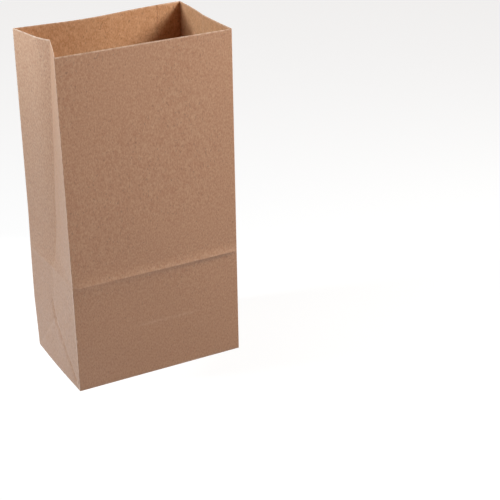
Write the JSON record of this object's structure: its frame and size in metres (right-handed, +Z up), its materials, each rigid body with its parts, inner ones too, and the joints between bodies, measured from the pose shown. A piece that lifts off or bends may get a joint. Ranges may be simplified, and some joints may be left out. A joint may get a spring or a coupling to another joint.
{
  "type": "brown paper lunch bag",
  "caption": "Open brown kraft paper lunch bag standing on a folded block bottom, with creased side gussets, a glued back seam and a straight-cut mouth.",
  "frame": {"origin": "middle of the bottom, on the surface the bag stands on", "axes": "+Z up to the open mouth, +X along the width to the right of the front panel, -Y out of the front panel"},
  "size_m": [0.128, 0.0808, 0.245],
  "materials": {
    "kraft_paper": "matte unbleached kraft with fine vertical fibres, a little paler along worn folds"
  },
  "bodies": {
    "root": {"paper_bag": "kraft_paper"}
  },
  "joints": []
}
